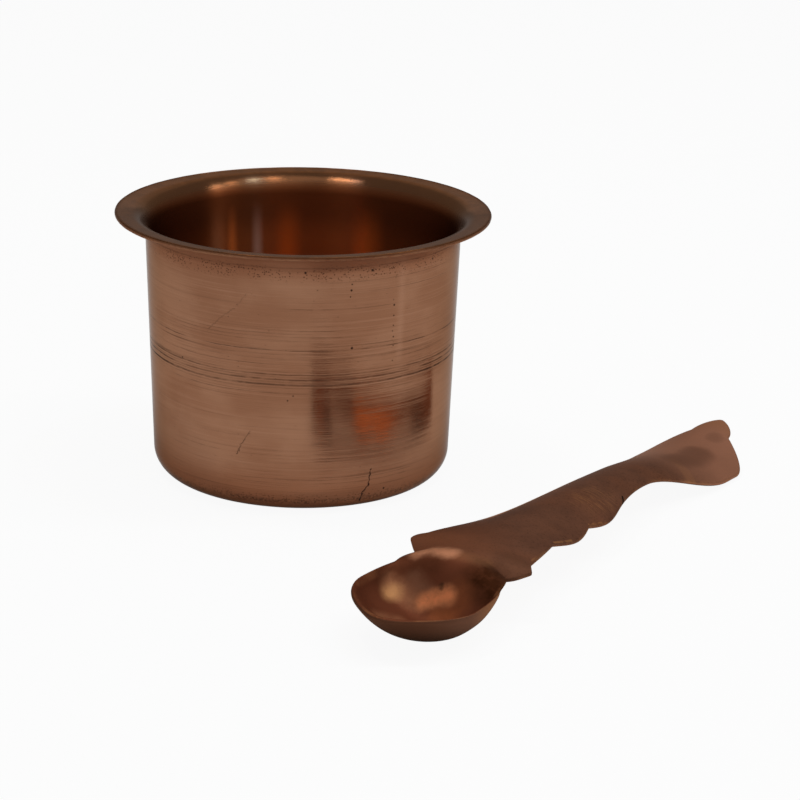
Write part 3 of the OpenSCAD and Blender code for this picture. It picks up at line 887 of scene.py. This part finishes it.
# Painted shade: the under face darkens towards the table
under_colour = spoon_place[2].step(*SHADE_TOP).blend(SPOON_SOOT_AND_SHADE, under_colour)
spoon_colour = upper_face.step(0.2, 0.8).blend(under_colour, spoon_colour)

ear_dull = station_mm.step(*EAR_DULL)
spoon_rough = 0.48 + 0.08 * mottle - 0.1 * wear - 0.1 * lit_flank + 0.04 * fine_grain + 0.14 * ear_dull
spoon_relief = fine_grain * 0.6 + mottle * 3 + rubs * 0.4 - cut * 6
spoon_bump = spoon_term.node("ShaderNodeBump", {},
                             {"Strength": 1.0, "Distance": SPOON_RELIEF * MM, "Height": spoon_relief})
wire(spoon_shader, {"Base Color": spoon_colour, "Roughness": spoon_rough, "Normal": spoon_bump})
spoon_shader.inputs["Specular Tint"].default_value = GRAZING_TINT
spoon.data.materials.append(spoon_copper)
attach(spoon, "spoon")
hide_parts("spoon")

# Floor
# A plain white table top that runs on past the picture's edges. To the camera it is nearly white, with the
# pieces' soft shadows left in it, and the copper reflects its matt side with a little of that white.
FLOOR_HALF = 3.0
FLOOR_DROP = 0.00005
FLOOR_GLOW = 0.93
FLOOR_SHINE = 0.12
FLOOR_MATT = (0.9, 0.9, 0.9, 1)
FLOOR_WHITE = (1, 1, 1, 1)
floor_mesh = bpy.data.meshes.new("floor")
floor_corners = np.array([(-1, -1), (1, -1), (1, 1), (-1, 1)]) * FLOOR_HALF
floor_mesh.from_pydata(np.column_stack([floor_corners, np.full(4, -FLOOR_DROP)]), [], [(0, 1, 2, 3)])
floor = bpy.data.objects.new("floor", floor_mesh)
bpy.context.scene.collection.objects.link(floor)
floor_white = bpy.data.materials.new("floor_white")
floor_white.use_nodes = True
floor_tree = floor_white.node_tree
floor_tree.nodes.clear()
floor_term = Term(floor_tree)
by_camera, by_gloss, by_glass = (floor_term.node("ShaderNodeLightPath", {}, {}, ray)
                                 for ray in ("Is Camera Ray", "Is Glossy Ray", "Is Transmission Ray"))
seen = by_camera * FLOOR_GLOW + (by_gloss + by_glass) * FLOOR_SHINE
matt = floor_term.node("ShaderNodeBsdfDiffuse", {}, {"Color": FLOOR_MATT})
glow = floor_term.node("ShaderNodeEmission", {}, {"Color": FLOOR_WHITE, "Strength": 1.0})
floor_finish = floor_term.node("ShaderNodeMixShader", {}, {0: seen, 1: matt, 2: glow})
floor_output = floor_tree.nodes.new("ShaderNodeOutputMaterial")
floor_tree.links.new(floor_finish.socket, floor_output.inputs["Surface"])
floor_mesh.materials.append(floor_white)

# Light
# A dim room with a wide panel overhead, a low panel behind and a row of small lamps from right to left,
# which the lip, the bowl and the inside of the cup pick up. Each has a name, a direction from the pieces,
# a size, a tint and a brightness.
ROOM = (0.3, 0.3, 0.305, 1)
SOFT_BOXES = (("panel", (0.15, -0.15, 0.98), 0.6, (1.0, 0.96, 0.9), 0.8),
              ("back_panel", (0.0, 0.866, 0.5), 0.36, (1.0, 0.97, 0.93), 0.2),
              ("right_lamp_1", (0.665, 0.0, 0.747), 0.1, (1.0, 0.97, 0.9), 16.0),
              ("right_lamp_2", (0.5, 0.0, 0.866), 0.06, (1.0, 0.9, 0.75), 22.0),
              ("right_lamp_3", (0.29, 0.0, 0.957), 0.06, (0.35, 0.68, 1.0), 44.0),
              ("right_lamp_4", (0.15, 0.0, 0.99), 0.06, (1.0, 0.9, 0.75), 18.0),
              ("left_lamp_1", (-0.27, 0.0, 0.963), 0.1, (1.0, 0.94, 0.85), 18.0),
              ("left_lamp_2", (-0.36, 0.0, 0.933), 0.06, (0.75, 0.8, 1.0), 20.0))
BOX_AWAY = 0.75
LIGHT_AIM = Vector((0.03, -0.03, 0.02))
for name, direction, size, tint, radiance in SOFT_BOXES:
    lamp = bpy.data.lights.new(name, "AREA")
    lamp.size = size
    lamp.color = tint
    lamp.energy = radiance * math.pi * size * size
    box = bpy.data.objects.new(name, lamp)
    towards = Vector(direction).normalized()
    box.location = LIGHT_AIM + towards * BOX_AWAY
    box.rotation_euler = towards.to_track_quat("Z", "Y").to_euler()
    bpy.context.scene.collection.objects.link(box)
world = bpy.data.worlds.new("room")
world.use_nodes = True
world.node_tree.nodes["Background"].inputs["Color"].default_value = ROOM
bpy.context.scene.world = world
bpy.context.scene.view_settings.view_transform = "Standard"

# Camera
# A long lens on the photograph's side of the pieces, a little above them and tilted slightly to one side.
FOCAL_PX = 2800
IMAGE_PX = 800
SENSOR = 36.0
NEAR_CLIP = 0.01
PITCH = math.radians(17.843)
ROLL = math.radians(1.2046)
CAMERA_PLACE = Vector((20.28, -549.94, 191.69)) * MM
lens = bpy.data.cameras.new("camera")
lens.sensor_width = SENSOR
lens.lens = SENSOR * FOCAL_PX / IMAGE_PX
lens.clip_start = NEAR_CLIP
camera = bpy.data.objects.new("camera", lens)
tilt = Matrix.Rotation(math.pi / 2 - PITCH, 4, "X") @ Matrix.Rotation(ROLL, 4, "Z")
camera.matrix_world = Matrix.Translation(CAMERA_PLACE) @ tilt
bpy.context.scene.collection.objects.link(camera)
bpy.context.scene.camera = camera
